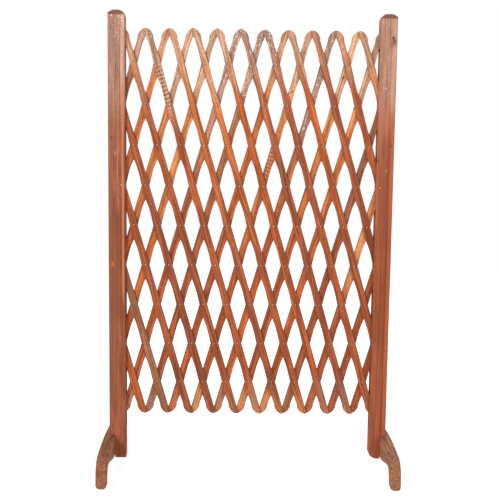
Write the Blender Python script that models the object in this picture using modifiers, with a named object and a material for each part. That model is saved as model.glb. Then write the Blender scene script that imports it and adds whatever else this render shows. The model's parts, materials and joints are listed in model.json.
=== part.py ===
"""Expandable wooden trellis: a riveted lattice of crossed slats between two posts on curved feet.

The outermost crossings run in a groove in the inner face of each post. One crossing on each side is
pinned to its post, so the lattice opens and closes like lazy tongs while both posts stay upright.
Metres, +Z up, front towards -Y. The origin is on the ground under the middle of the lattice.
"""

import math

import bmesh
import bpy
from mathutils import Matrix

# Lattice, with rows counted from the top and half columns from the left post
RIVET_PITCH = 0.109
REST_ANGLE = math.radians(16.3)
CLOSED_ANGLE = math.radians(5.5)
ROW_COUNT = 9
COLUMN_COUNT = 22
PIVOT_ROW = 4

# Slats
SLAT_WIDTH = 0.019
SLAT_THICKNESS = 0.006
SLAT_EASE = 0.0015
FREE_END_LENGTH = 0.092
FREE_END_ROUND_SHARE = 0.83
FREE_END_ROUND_LENGTH = 0.024

# Rivets and pivot pins
PIN_RADIUS = 0.0013
RIVET_HEAD_RADIUS = 0.0026
RIVET_HEAD_HEIGHT = 0.001
HEAD_CROWN_SHARE = 0.55

# Posts
POST_WIDTH = 0.044
POST_DEPTH = 0.032
POST_EASE = 0.002
PIVOT_INSET = 0.010
GROOVE_SIDE_ROOM = 0.0008
GROOVE_END_ROOM = 0.010
POST_HEAD_ROOM = 0.027
POST_BUTT_LENGTH = 0.0865
CAP_CHAMFER_HEIGHT = 0.012
CAP_CHAMFER_DEPTH = 0.006
CAP_OUTER_SLOPE_WIDTH = 0.012
CAP_OUTER_SLOPE_HEIGHT = 0.007
CAP_INNER_RADIUS = 0.018
LEFT_HEEL_RADIUS = 0.003
RIGHT_HEEL_RADIUS = 0.020

# Feet
POST_LIFT = 0.0245
FOOT_THICKNESS = 0.028
FOOT_LET_IN = 0.0145
FOOT_REACH = 0.183
FOOT_SEAT_HEIGHT = 0.063
FOOT_TOP_FALL = 0.011
FOOT_NOSE_LENGTH = 0.041
FOOT_NOSE_HEIGHT = 0.050
FOOT_NOSE_START = 85
TOE_LENGTH = 0.024
TOE_RADIUS = 0.004
ARCH_RISE = 0.0195
ARCH_CREST_SHARE = 0.77
FOOT_EDGE_EASE = 0.003
SOLE_EASE = 0.009

# Foot screws
SCREW_RADIUS = 0.002
SCREW_HEAD_RADIUS = 0.004
SCREW_HEAD_DEPTH = 0.003
SCREW_BITE = 0.020
SCREW_TIP_LENGTH = 0.004
SCREW_HEIGHT_SHARES = (0.3, 0.74)

# Stained softwood, with each layer's shades from left to right
STAINS = {
    "orange": (0.5, 0.19, 0.085),
    "brown": (0.42, 0.145, 0.06),
    "dark": (0.36, 0.125, 0.055),
    "light": (0.56, 0.235, 0.11),
}
FRONT_SLAT_SHADES = [
    *("orange", "brown", "orange", "dark", "brown", "orange", "brown", "light"),
    *("orange", "brown", "dark", "orange", "brown", "brown", "orange"),
]
BACK_SLAT_SHADES = [
    *("light", "orange", "light", "light", "brown", "brown", "orange", "light"),
    *("brown", "light", "orange", "dark", "light", "brown", "orange"),
]

# Clearances and working values
CLEARANCE = 0.0003
HEAD_SINK = 0.0003
OVERRUN = 0.005
WELD_DISTANCE = 0.00001
FLAT_ANGLE = math.radians(0.5)
EASED_ANGLE = math.radians(50)
SMOOTH_ANGLE = math.radians(65)
UNDERSIDE_LEAN = 0.05
PIN_STEPS = 6
SCREW_STEPS = 6
SLAT_CORNER_STEPS = 3
POST_CORNER_STEPS = 4
ROUND_END_STEPS = 5
CURVE_STEPS = 5
FOOT_EASE_STEPS = 2

HALF_COLUMN = RIVET_PITCH * math.sin(REST_ANGLE)
ROW_STEP = RIVET_PITCH * math.cos(REST_ANGLE)
CLOSED_ROW_STEP = RIVET_PITCH * math.cos(CLOSED_ANGLE)
FREE_END_ROUND_WIDTH = SLAT_WIDTH * FREE_END_ROUND_SHARE
HALF_STACK = SLAT_THICKNESS + CLEARANCE / 2
RIVET_REACH = HALF_STACK + CLEARANCE + RIVET_HEAD_HEIGHT
PIVOT_X = COLUMN_COUNT / 2 * HALF_COLUMN
GROOVE_WIDTH = 2 * (RIVET_REACH + GROOVE_SIDE_ROOM)
GROOVE_DEPTH = PIVOT_INSET + SLAT_WIDTH / 2 + CLEARANCE + SLAT_EASE
CLOSED_REACH_DOWN = (ROW_COUNT - PIVOT_ROW) * CLOSED_ROW_STEP + FREE_END_LENGTH
CLOSED_REACH_UP = (PIVOT_ROW - 1) * CLOSED_ROW_STEP + FREE_END_LENGTH
PIVOT_ON_POST = POST_BUTT_LENGTH + GROOVE_END_ROOM + CLOSED_REACH_DOWN
POST_LENGTH = PIVOT_ON_POST + CLOSED_REACH_UP + POST_HEAD_ROOM
PIVOT_HEIGHT = POST_LIFT + PIVOT_ON_POST
POST_INNER = -PIVOT_INSET
POST_OUTER = POST_WIDTH - PIVOT_INSET
FOOT_INNER = POST_OUTER - FOOT_LET_IN
FOOT_OUTER = FOOT_INNER + FOOT_THICKNESS

STANDING = Matrix.Rotation(math.radians(90), 4, "X")
SIDEWAYS = Matrix.Rotation(math.radians(90), 4, "Z")
LEFT, RIGHT = -1, 1
FRONT, BACK = -1, 1


def clear_scene():
    for obj in list(bpy.data.objects):
        bpy.data.objects.remove(obj, do_unlink=True)


def new_collection(name):
    collection = bpy.data.collections.new(name)
    bpy.context.scene.collection.children.link(collection)
    return collection


def new_material(name, color, roughness, metallic):
    material = bpy.data.materials.new(name)
    material.use_nodes = True
    shader = material.node_tree.nodes["Principled BSDF"]
    shader.inputs["Base Color"].default_value = (*color, 1)
    shader.inputs["Roughness"].default_value = roughness
    shader.inputs["Metallic"].default_value = metallic
    return material


def wood(name, color):
    return new_material(name, color, 0.75, 0)


def steel(name):
    return new_material(name, (0.62, 0.6, 0.56), 0.35, 1)


def arc(center, radius, start, end, steps):
    """Points of a circle's arc, from the angle start to the angle end, in degrees."""
    points = []
    for step in range(steps + 1):
        angle = math.radians(start + (end - start) * step / steps)
        points.append((center[0] + radius * math.cos(angle), center[1] + radius * math.sin(angle)))
    return points


def evaluated_mesh(obj):
    bpy.context.view_layer.update()
    graph = bpy.context.evaluated_depsgraph_get()
    return bpy.data.meshes.new_from_object(obj.evaluated_get(graph), depsgraph=graph)


def tidied(mesh, transform):
    """Welds the mesh, joins its flat triangles, moves it by transform and turns its faces outwards."""
    shape = bmesh.new()
    shape.from_mesh(mesh)
    bmesh.ops.remove_doubles(shape, verts=shape.verts, dist=WELD_DISTANCE)
    bmesh.ops.dissolve_limit(
        shape, angle_limit=FLAT_ANGLE, verts=shape.verts, edges=shape.edges
    )
    bmesh.ops.transform(shape, matrix=transform, verts=shape.verts)
    bmesh.ops.recalc_face_normals(shape, faces=shape.faces)
    shape.to_mesh(mesh)
    shape.free()
    return mesh


def outline_mesh(name, points, thickness, transform=STANDING):
    """A board cut to a closed outline. STANDING puts the outline's second coordinate upright."""
    curve = bpy.data.curves.new(name, "CURVE")
    curve.dimensions = "2D"
    curve.fill_mode = "BOTH"
    curve.extrude = thickness / 2
    spline = curve.splines.new("POLY")
    spline.points.add(len(points) - 1)
    for point, (x, y) in zip(spline.points, points):
        point.co = (x, y, 0, 1)
    spline.use_cyclic_u = True
    holder = bpy.data.objects.new(name, curve)
    bpy.context.scene.collection.objects.link(holder)
    mesh = evaluated_mesh(holder)
    bpy.data.objects.remove(holder, do_unlink=True)
    bpy.data.curves.remove(curve)
    mesh.name = name
    return tidied(mesh, transform)


def turned_mesh(name, profile, steps):
    """A turned piece from (radius, height) points that run from its top to its bottom."""
    line = bpy.data.meshes.new(name)
    line.from_pydata([(r, 0, z) for r, z in profile], [(n, n + 1) for n in range(len(profile) - 1)], [])
    holder = bpy.data.objects.new(name, line)
    bpy.context.scene.collection.objects.link(holder)
    screw = holder.modifiers.new("turn", "SCREW")
    screw.steps = steps
    screw.render_steps = steps
    screw.use_merge_vertices = True
    screw.merge_threshold = WELD_DISTANCE
    mesh = evaluated_mesh(holder)
    bpy.data.objects.remove(holder, do_unlink=True)
    bpy.data.meshes.remove(line)
    mesh.name = name
    return tidied(mesh, Matrix.Identity(4))


def box_mesh(name, low, high):
    size = [b - a for a, b in zip(low, high)]
    middle = [(a + b) / 2 for a, b in zip(low, high)]
    shape = bmesh.new()
    bmesh.ops.create_cube(shape, size=1, matrix=Matrix.Translation(middle) @ Matrix.Diagonal((*size, 1)))
    mesh = bpy.data.meshes.new(name)
    shape.to_mesh(mesh)
    shape.free()
    return mesh


def joined_copies(name, mesh, places):
    """One mesh that holds a copy of mesh at each of the matrices in places."""
    shape = bmesh.new()
    for place in places:
        before = len(shape.verts)
        shape.from_mesh(mesh)
        shape.verts.ensure_lookup_table()
        bmesh.ops.transform(shape, matrix=place, verts=shape.verts[before:])
    bmesh.ops.recalc_face_normals(shape, faces=shape.faces)
    joined = bpy.data.meshes.new(name)
    shape.to_mesh(joined)
    shape.free()
    return joined


def add_object(name, mesh, collection, place, material=None):
    obj = bpy.data.objects.new(name, mesh)
    collection.objects.link(obj)
    obj.matrix_world = place
    if material:
        mesh.materials.append(material)
    return obj


def shade_round(obj):
    obj.data.shade_smooth()
    obj.data.set_sharp_from_angle(angle=SMOOTH_ANGLE)


def add_bevel(obj, width, segments=1, limit="ANGLE"):
    bevel = obj.modifiers.new("eased_edges", "BEVEL")
    bevel.width = width
    bevel.segments = segments
    bevel.limit_method = limit
    bevel.angle_limit = EASED_ANGLE


def add_boolean(obj, operation, mesh, cutters):
    """Cuts or joins obj with a mesh that is in obj's own coordinates."""
    cutter = add_object(f"{obj.name}_{operation.lower()}_{len(obj.modifiers)}", mesh, cutters, obj.matrix_world)
    cutter.hide_render = True
    cutter.display_type = "WIRE"
    boolean = obj.modifiers.new(operation.lower(), "BOOLEAN")
    boolean.operation = operation
    boolean.solver = "EXACT"
    boolean.object = cutter


def node_position(column, row):
    """Where a crossing lies at rest."""
    x = (column - COLUMN_COUNT / 2) * HALF_COLUMN
    return x, PIVOT_HEIGHT + (PIVOT_ROW - row) * ROW_STEP


def crossing_row(start, end):
    """Row in which the front slat numbered start crosses the back slat numbered end."""
    return (end - start) // 2


def front_slats():
    """Each front slat as (start, first row, last row, pivot row). It passes (start + row, row)."""
    hub = 2 * ROW_COUNT - PIVOT_ROW
    slats = []
    for start in range(1 - ROW_COUNT, COLUMN_COUNT - 1, 2):
        first = max(1, -start)
        last = min(ROW_COUNT, COLUMN_COUNT - start)
        if start == -PIVOT_ROW:
            pivot = PIVOT_ROW
        elif start < 0:
            pivot = crossing_row(start, ROW_COUNT + 1)
        elif start <= hub - 2:
            pivot = crossing_row(start, hub)
        else:
            pivot = crossing_row(start, COLUMN_COUNT)
        slats.append((start, first, last, pivot))
    return slats


def back_slats():
    """Each back slat as (end, first row, last row, pivot row). It passes (end - row, row)."""
    hub = 2 * ROW_COUNT - PIVOT_ROW
    slats = []
    for end in range(2, COLUMN_COUNT + ROW_COUNT, 2):
        first = max(1, end - COLUMN_COUNT)
        last = min(ROW_COUNT, end)
        if end < PIVOT_ROW:
            pivot = crossing_row(0, end)
        elif end <= hub:
            pivot = crossing_row(-PIVOT_ROW, end)
        else:
            pivot = crossing_row(hub - 2, end)
        slats.append((end, first, last, pivot))
    return slats


def free_end(outer):
    """A slat's free end above its last rivet, from right to left. Its corner on the outer side is round."""
    half = SLAT_WIDTH / 2
    top = FREE_END_LENGTH
    across, along = FREE_END_ROUND_WIDTH, FREE_END_ROUND_LENGTH
    quarter = arc((0, 0), 1, 0, 90, SLAT_CORNER_STEPS)
    rounded = [(half - across + across * x, top - along + along * z) for x, z in quarter]
    points = [*rounded, (-half, top)]
    if outer == RIGHT:
        return points
    return [(-x, z) for x, z in reversed(points)]


def housed_end():
    """The half-round end of a slat that stops at a rivet inside a post's groove."""
    return arc((0, 0), SLAT_WIDTH / 2, 0, 180, ROUND_END_STEPS)


def slat_outline(top, bottom, top_is_free, bottom_is_free, outer):
    """Outline of a slat whose outermost rivets are at the heights top and bottom."""
    upper = free_end(outer) if top_is_free else housed_end()
    lower = free_end(outer) if bottom_is_free else housed_end()
    return [(x, top + z) for x, z in upper] + [(-x, bottom - z) for x, z in lower]


def rivet_mesh():
    """A rivet, its head towards -Y. The head is sunk a little into the front slat."""
    face = HALF_STACK
    crown = RIVET_HEAD_RADIUS * HEAD_CROWN_SHARE
    profile = [
        (0, face + RIVET_HEAD_HEIGHT),
        (crown, face + RIVET_HEAD_HEIGHT),
        (RIVET_HEAD_RADIUS, face - HEAD_SINK),
        (PIN_RADIUS, face - HEAD_SINK),
        (PIN_RADIUS, -face - CLEARANCE),
        (RIVET_HEAD_RADIUS, -face - CLEARANCE),
        (crown, -face - CLEARANCE - RIVET_HEAD_HEIGHT),
        (0, -face - CLEARANCE - RIVET_HEAD_HEIGHT),
    ]
    mesh = turned_mesh("rivet", profile, PIN_STEPS)
    mesh.transform(STANDING)
    return mesh


def pivot_pin_mesh():
    """The pin through a post and the crossing in its groove, with a small head on both faces."""
    face = POST_DEPTH / 2 + CLEARANCE
    crown = RIVET_HEAD_RADIUS * HEAD_CROWN_SHARE
    half = [(crown, face + RIVET_HEAD_HEIGHT), (RIVET_HEAD_RADIUS, face), (PIN_RADIUS, face)]
    profile = [(0, face + RIVET_HEAD_HEIGHT), *half]
    profile += [(r, -z) for r, z in reversed(profile)]
    mesh = turned_mesh("pivot_pin", profile, SCREW_STEPS)
    mesh.transform(STANDING)
    return mesh


def pin_hole_mesh(length):
    """A cutter along Y that leaves a pin its clearance, also at the flats of its sides."""
    radius = (PIN_RADIUS + CLEARANCE) / math.cos(math.pi / PIN_STEPS)
    half = length / 2 + OVERRUN
    mesh = turned_mesh("pin_hole", [(0, half), (radius, half), (radius, -half), (0, -half)], PIN_STEPS)
    mesh.transform(STANDING)
    return mesh


def is_pinned(column, row):
    return row == PIVOT_ROW and column in (0, COLUMN_COUNT)


def slat_color(number, layer):
    """The shade of a slat's stain, from the list of its layer."""
    shades = FRONT_SLAT_SHADES if layer == FRONT else BACK_SLAT_SHADES
    return STAINS[shades[(number - 1) % len(shades)]]


def build_slat(name, number, layer, rows, column_of, meshes, parts, cutters):
    """A slat with its origin on its own joint. A front slat carries the rivets of its crossings."""
    first, last, pivot = rows
    x, z = node_position(column_of(pivot), pivot)
    turn = Matrix.Rotation(REST_ANGLE * layer, 4, "Y")
    place = Matrix.Translation((x, 0, z)) @ turn
    heights = {row: (pivot - row) * RIVET_PITCH for row in range(first, last + 1)}
    outline = slat_outline(
        heights[first],
        heights[last],
        column_of(first) not in (0, COLUMN_COUNT),
        column_of(last) not in (0, COLUMN_COUNT),
        RIGHT if layer == FRONT else LEFT,
    )
    middle = layer * (SLAT_THICKNESS + CLEARANCE) / 2
    mesh = outline_mesh(name, outline, SLAT_THICKNESS, Matrix.Translation((0, middle, 0)) @ STANDING)
    slat = add_object(name, mesh, parts, place, wood(name, slat_color(number, layer)))
    add_bevel(slat, SLAT_EASE)
    riveted = {row for row in heights if layer == FRONT and not is_pinned(column_of(row), row)}
    holes = [Matrix.Translation((0, 0, heights[row])) for row in heights if row not in riveted]
    rivets = [Matrix.Translation((0, 0, heights[row])) for row in sorted(riveted)]
    if holes:
        add_boolean(slat, "DIFFERENCE", joined_copies(f"{name}_holes", meshes["hole"], holes), cutters)
    if rivets:
        add_boolean(slat, "UNION", joined_copies(f"{name}_rivets", meshes["rivet"], rivets), cutters)
    return slat


def build_lattice(parts, cutters):
    meshes = {"rivet": rivet_mesh(), "hole": pin_hole_mesh(2 * HALF_STACK)}
    for number, (start, *rows) in enumerate(front_slats(), 1):
        name = f"front_slat_{number:02d}"
        build_slat(name, number, FRONT, rows, lambda row: start + row, meshes, parts, cutters)
    for number, (end, *rows) in enumerate(back_slats(), 1):
        name = f"back_slat_{number:02d}"
        build_slat(name, number, BACK, rows, lambda row: end - row, meshes, parts, cutters)


def post_front_outline(side, heel_radius):
    """A post from the front, about its pivot pin."""
    bottom = -PIVOT_ON_POST
    top = bottom + POST_LENGTH
    heel = (POST_INNER + heel_radius, bottom + heel_radius)
    cap = (POST_INNER + CAP_INNER_RADIUS, top - CAP_INNER_RADIUS)
    points = [
        *arc(heel, heel_radius, 180, 270, POST_CORNER_STEPS),
        (POST_OUTER, bottom),
        (POST_OUTER, top - CAP_OUTER_SLOPE_HEIGHT),
        (POST_OUTER - CAP_OUTER_SLOPE_WIDTH, top),
        *arc(cap, CAP_INNER_RADIUS, 90, 180, POST_CORNER_STEPS),
    ]
    return [(side * x, z) for x, z in points]


def post_side_outline():
    """A post from the side: its top is chamfered towards the front and the back."""
    side = POST_DEPTH / 2 + OVERRUN
    bottom = -PIVOT_ON_POST - OVERRUN
    top = POST_LENGTH - PIVOT_ON_POST
    slope = CAP_CHAMFER_HEIGHT / CAP_CHAMFER_DEPTH
    shoulder = top - CAP_CHAMFER_HEIGHT - OVERRUN * slope
    ridge = (POST_DEPTH / 2 - CAP_CHAMFER_DEPTH) / 2
    return [
        (-side, bottom),
        (side, bottom),
        (side, shoulder),
        (ridge, top + ridge * slope),
        (-ridge, top + ridge * slope),
        (-side, shoulder),
    ]


def spanning_box(name, x_ends, y_half, z_ends):
    low = (min(x_ends), -y_half, min(z_ends))
    high = (max(x_ends), y_half, max(z_ends))
    return box_mesh(name, low, high)


def groove_mesh(side):
    """The groove along a post's inner face, open at the top and stopped above the foot."""
    x_ends = (side * (POST_INNER - OVERRUN), side * (POST_INNER + GROOVE_DEPTH))
    z_ends = (POST_BUTT_LENGTH - PIVOT_ON_POST, POST_LENGTH - PIVOT_ON_POST + OVERRUN)
    return spanning_box("groove", x_ends, GROOVE_WIDTH / 2, z_ends)


def foot_seat_mesh(side):
    """The notch in a post's lower outer corner that the foot is let into."""
    x_ends = (side * (FOOT_INNER - CLEARANCE), side * (POST_OUTER + OVERRUN))
    z_ends = (-PIVOT_ON_POST - OVERRUN, FOOT_SEAT_HEIGHT + CLEARANCE - PIVOT_ON_POST)
    return spanning_box("foot_seat", x_ends, POST_DEPTH / 2 + OVERRUN, z_ends)


def screw_profile(room):
    """A countersunk screw along Z, its head on top, grown by room all round to make its hole."""
    length = FOOT_THICKNESS + SCREW_BITE
    face = OVERRUN if room else 0
    return [
        (0, face),
        (SCREW_HEAD_RADIUS + room, face),
        (SCREW_HEAD_RADIUS + room, -CLEARANCE),
        (SCREW_RADIUS + room, -SCREW_HEAD_DEPTH),
        (SCREW_RADIUS + room, SCREW_TIP_LENGTH - length),
        (0, -length - room),
    ]


def screw_places(side):
    """Where a foot's screws start on its outer face, about the post's pivot pin."""
    turn = Matrix.Rotation(side * math.radians(90), 4, "Y")
    for share in SCREW_HEIGHT_SHARES:
        height = FOOT_SEAT_HEIGHT * share - PIVOT_ON_POST
        yield Matrix.Translation((side * FOOT_OUTER, 0, height)) @ turn


def build_post(name, side, heel_radius, parts, cutters):
    """A post with its origin on its pivot pin."""
    place = Matrix.Translation((side * PIVOT_X, 0, PIVOT_HEIGHT))
    mesh = outline_mesh(name, post_front_outline(side, heel_radius), POST_DEPTH)
    post = add_object(name, mesh, parts, place, wood(name, (0.4, 0.15, 0.075)))
    add_bevel(post, POST_EASE)
    side_view = outline_mesh(f"{name}_cap", post_side_outline(), 2 * POST_WIDTH, SIDEWAYS @ STANDING)
    add_boolean(post, "INTERSECT", side_view, cutters)
    add_boolean(post, "DIFFERENCE", groove_mesh(side), cutters)
    add_boolean(post, "DIFFERENCE", foot_seat_mesh(side), cutters)
    add_boolean(post, "DIFFERENCE", pin_hole_mesh(POST_DEPTH), cutters)
    hole = turned_mesh("screw_hole", screw_profile(CLEARANCE), SCREW_STEPS)
    holes = joined_copies(f"{name}_screw_holes", hole, screw_places(side))
    add_boolean(post, "DIFFERENCE", holes, cutters)
    return post


def foot_half_outline():
    """A foot's side view from the middle of its top, round the toe, to the middle of its underside."""
    top = POST_LIFT + FOOT_SEAT_HEIGHT
    nose_start = FOOT_REACH - FOOT_NOSE_LENGTH
    points = []
    for step in range(CURVE_STEPS):
        share = step / CURVE_STEPS
        points.append((nose_start * share, top - FOOT_TOP_FALL * share**2))
    nose_foot = top - FOOT_TOP_FALL - FOOT_NOSE_HEIGHT
    nose = arc((0, 0), 1, FOOT_NOSE_START, 0, CURVE_STEPS)
    points += [(nose_start + FOOT_NOSE_LENGTH * y, nose_foot + FOOT_NOSE_HEIGHT * z) for y, z in nose]
    toe_inside = FOOT_REACH - TOE_LENGTH
    points.append((FOOT_REACH, 0))
    crest = toe_inside * ARCH_CREST_SHARE + POST_DEPTH / 2
    crest_height = POST_LIFT + ARCH_RISE
    for step in range(CURVE_STEPS + 1):
        angle = math.radians(90) * step / CURVE_STEPS
        points.append((crest + (toe_inside - crest) * math.cos(angle), crest_height * math.sin(angle)))
    for step in range(1, CURVE_STEPS + 1):
        share = step / CURVE_STEPS
        fall = ARCH_RISE * (1 - math.cos(math.pi * share)) / 2
        points.append((crest + (POST_DEPTH / 2 - crest) * share, crest_height - fall))
    return points


def foot_edge_ease(edge):
    """How far an edge of a foot is eased: most along the arch and the sole, less round the top."""
    a, b = (vert.co for vert in edge.verts)
    if abs(a.x - b.x) > WELD_DISTANCE:
        at_toe = a.z < WELD_DISTANCE and abs(a.y) > FOOT_REACH - WELD_DISTANCE
        return TOE_RADIUS if at_toe else 0
    under = min(face.normal.z for face in edge.link_faces) < -UNDERSIDE_LEAN
    return SOLE_EASE if under else FOOT_EDGE_EASE


def weigh_foot_edges(mesh):
    """Marks a foot's edges for the bevel and returns its width where an edge weighs 1."""
    widest = max(SOLE_EASE, TOE_RADIUS, FOOT_EDGE_EASE)
    shape = bmesh.new()
    shape.from_mesh(mesh)
    weight = shape.edges.layers.float.new("bevel_weight_edge")
    for edge in shape.edges:
        edge[weight] = foot_edge_ease(edge) / widest
    shape.to_mesh(mesh)
    shape.free()
    return widest


def build_foot(name, side, parts, cutters):
    """A foot let into its post, with its origin on the ground below the middle of its thickness."""
    half = foot_half_outline()
    outline = half + [(-y, z) for y, z in reversed(half[1:])]
    mesh = outline_mesh(name, outline, FOOT_THICKNESS, SIDEWAYS @ STANDING)
    widest = weigh_foot_edges(mesh)
    middle = (FOOT_INNER + FOOT_OUTER) / 2
    place = Matrix.Translation((side * (PIVOT_X + middle), 0, 0))
    foot = add_object(name, mesh, parts, place, wood(name, (0.38, 0.16, 0.08)))
    add_bevel(foot, widest, FOOT_EASE_STEPS, "WEIGHT")
    hole = turned_mesh("screw_hole", screw_profile(CLEARANCE), SCREW_STEPS)
    to_foot = Matrix.Translation((-side * middle, 0, PIVOT_HEIGHT))
    holes = joined_copies(f"{name}_screw_holes", hole, [to_foot @ start for start in screw_places(side)])
    add_boolean(foot, "DIFFERENCE", holes, cutters)
    return foot


def build_side(word, side, heel_radius, parts, cutters):
    """One post with its foot, its pivot pin and the screws that hold the foot."""
    post = build_post(f"{word}_post", side, heel_radius, parts, cutters)
    build_foot(f"{word}_foot", side, parts, cutters)
    pin = f"{word}_pivot_pin"
    shade_round(add_object(pin, pivot_pin_mesh(), parts, post.matrix_world, steel(pin)))
    for spot, start in zip(("lower", "upper"), screw_places(side)):
        screw = f"{word}_foot_screw_{spot}"
        mesh = turned_mesh(screw, screw_profile(0), SCREW_STEPS)
        shade_round(add_object(screw, mesh, parts, post.matrix_world @ start, steel(screw)))


def main():
    clear_scene()
    parts = new_collection("expandable_trellis")
    cutters = new_collection("cutters")
    build_lattice(parts, cutters)
    build_side("left", LEFT, LEFT_HEEL_RADIUS, parts, cutters)
    build_side("right", RIGHT, RIGHT_HEEL_RADIUS, parts, cutters)


main()
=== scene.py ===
"""Looks of an expandable wooden trellis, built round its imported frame: stained, weathered softwood
slats with bright rivets between two grooved posts on curved feet. Metres, +Z up, front towards -Y."""

import json
import math
import random

import bmesh
import bpy
from mathutils import Matrix, Vector


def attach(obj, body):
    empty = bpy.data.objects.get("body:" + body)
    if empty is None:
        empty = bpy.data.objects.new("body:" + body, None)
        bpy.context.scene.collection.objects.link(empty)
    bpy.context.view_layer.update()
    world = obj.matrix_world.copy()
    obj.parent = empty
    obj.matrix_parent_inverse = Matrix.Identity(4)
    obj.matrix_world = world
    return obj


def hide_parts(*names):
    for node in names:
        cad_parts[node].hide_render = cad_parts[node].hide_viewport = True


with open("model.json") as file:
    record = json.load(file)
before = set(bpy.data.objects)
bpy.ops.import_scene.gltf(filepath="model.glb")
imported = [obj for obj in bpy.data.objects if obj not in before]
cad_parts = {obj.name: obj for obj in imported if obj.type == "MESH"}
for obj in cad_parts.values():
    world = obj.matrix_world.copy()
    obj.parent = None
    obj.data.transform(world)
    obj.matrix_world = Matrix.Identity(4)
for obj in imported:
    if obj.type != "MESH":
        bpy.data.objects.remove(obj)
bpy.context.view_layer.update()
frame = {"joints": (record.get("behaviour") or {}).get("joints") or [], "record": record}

# Lattice, as in the part's source
PITCH = 0.109
REST = math.radians(16.3)
CLOSED = math.radians(5.5)
ROWS, COLUMNS, PIVOT_ROW = 9, 22, 4
ROW_STEP = PITCH * math.cos(REST)
CLOSED_STEP = PITCH * math.cos(CLOSED)
TOTAL_HEIGHT = 1.2

# Slats and rivets
SLAT_WIDTH, SLAT_THICKNESS, SLAT_EASE = 0.019, 0.006, 0.0015
FREE_END, ROUND_WIDTH, ROUND_LENGTH = 0.092, 0.0158, 0.024
CLEARANCE = 0.0003
HALF_STACK = SLAT_THICKNESS + CLEARANCE / 2
EDGE_ROUND = 0.0011
PIN_RADIUS, HEAD_RADIUS, HEAD_HEIGHT, HEAD_SINK = 0.0012, 0.0016, 0.0007, 0.0002
TAIL_ROOM = 0.0001

# Slats widen by this share for each metre below the height named. The limits are how far their upper and
# lower edges may lie from the middle line, so that neighbours still pass when the lattice is closed
SLAT_SWELL, SWELL_MIDDLE = 0.150, 0.78
UPPER_LIMIT, LOWER_LIMIT = 0.00990, 0.01072

# Sawn edges: how far apart their points are and how uneven, and how far off square the ends are cut
SAWN_STEP, SAWN_DEPTH = 0.006, 0.00016
OFF_SQUARE = (-0.0008, 0.0016)

# Hollows of a slat's upper edge, the waist and the shoulder of its lower edge between two rivets, and
# between which heights from the ground the hollows and the extra depths set in
UPPER_HOLLOW, UPPER_FULL = 0.0019, 0.0003
WAIST_START, WAIST_LENGTH, WAIST_DEPTH, WAIST_EXTRA = 0.005, 0.074, 0.0010, 0.0007
SHOULDER_START, SHOULDER_LENGTH, SHOULDER_HEIGHT, SHOULDER_EXTRA = 0.052, 0.055, 0.0006, 0.0006
UPPER_HEIGHTS, LOWER_HEIGHTS = (0.78, 1.0), (0.25, 0.70)

# Posts
POST_WIDTH, POST_DEPTH, POST_EASE, CUT_EASE = 0.044, 0.032, 0.002, 0.0006
INSET = 0.010
SOLID_HEAD_HEIGHT, GROOVE_SIDE_ROOM = 0.001, 0.0008
GROOVE_WIDTH = 2 * (HALF_STACK + CLEARANCE + SOLID_HEAD_HEIGHT + GROOVE_SIDE_ROOM)
GROOVE_DEPTH = INSET + SLAT_WIDTH / 2 + CLEARANCE + SLAT_EASE
BUTT, END_ROOM, HEAD_ROOM = 0.0865, 0.010, 0.027
CAP_HEIGHT, CAP_DEPTH, CAP_RADIUS = 0.012, 0.006, 0.018
CAP_SLOPE_WIDTH, CAP_SLOPE_HEIGHT = 0.012, 0.007
HEELS = {"left": (0.003, 0.003), "right": (0.024, 0.018)}
PIVOT_ON_POST = BUTT + END_ROOM + (ROWS - PIVOT_ROW) * CLOSED_STEP + FREE_END
POST_LENGTH = PIVOT_ON_POST + (PIVOT_ROW - 1) * CLOSED_STEP + FREE_END + HEAD_ROOM
POST_LIFT = 0.0245
PIVOT_HEIGHT = POST_LIFT + PIVOT_ON_POST
POST_INNER, POST_OUTER = -INSET, POST_WIDTH - INSET
POST_STRIP = 0.04

# How far cutters reach past the wood
OVERRUN = 0.005

# Feet and screws
FOOT_THICKNESS, LET_IN, REACH, SEAT = 0.028, 0.0145, 0.183, 0.063
TOP_FALL, NOSE_LENGTH, NOSE_HEIGHT = 0.011, 0.041, 0.050
TOE_LENGTH, TOE_EASE, SOLE_EASE, FOOT_EASE = 0.024, 0.004, 0.009, 0.003
ARCH_RISE, ARCH_CREST = 0.0195, 0.77
TOE_ROUNDS = {"left": (0.0138, 0.0138), "right": (0.0150, 0.0015)}
FOOT_INNER = POST_OUTER - LET_IN
FOOT_OUTER = FOOT_INNER + FOOT_THICKNESS
SCREW_RADIUS, SCREW_HEAD, SCREW_HEAD_DEPTH, SCREW_LENGTH = 0.002, 0.004, 0.003, 0.048
SCREW_RIM, SCREW_POINT = 0.0004, 0.004
SCREW_SHARES = (0.3, 0.74)
CROSS_LENGTH, CROSS_WIDTH, CROSS_DEPTH, CROSS_OVERRUN = 0.0023, 0.0005, 0.0016, 0.001

# Light, floor and the photograph's camera, whose angles are in degrees
LIGHTS = [
    ("key", (-1.9, -2.95, 1.9), 1.0, 62),
    ("fill", (2.4, -2.8, 1.4), 2.2, 26),
    ("back", (0.6, 2.6, 2.4), 2.0, 30),
]
LIGHT_TARGET = (0, 0, 0.6)
SKY_LIGHT, SKY_SEEN, FLOOR_GLOW = 0.48, 1.0, 0.58
FLOOR_CORNERS = ((-90, -12, -0.05), (90, 240, -0.0004))
CAMERA_PLACE = (-0.0515, -2.3412, 0.8588)
CAMERA_TIP, CAMERA_TURN, CAMERA_LEAN = 6.611, 1.250, 0.747
CAMERA_SENSOR, CAMERA_LENS = 36, 64.3

# Heights between which wood near the ground bleaches
SPLASH = (0.30, 0.13)

STANDING = Matrix.Rotation(math.radians(90), 4, "X")
SIDEWAYS = Matrix.Rotation(math.radians(90), 4, "Z")
SIDES = {"left": -1, "right": 1}
TINY = 0.00001

draw = random.Random(11)


# ---- Shading nodes

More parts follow.
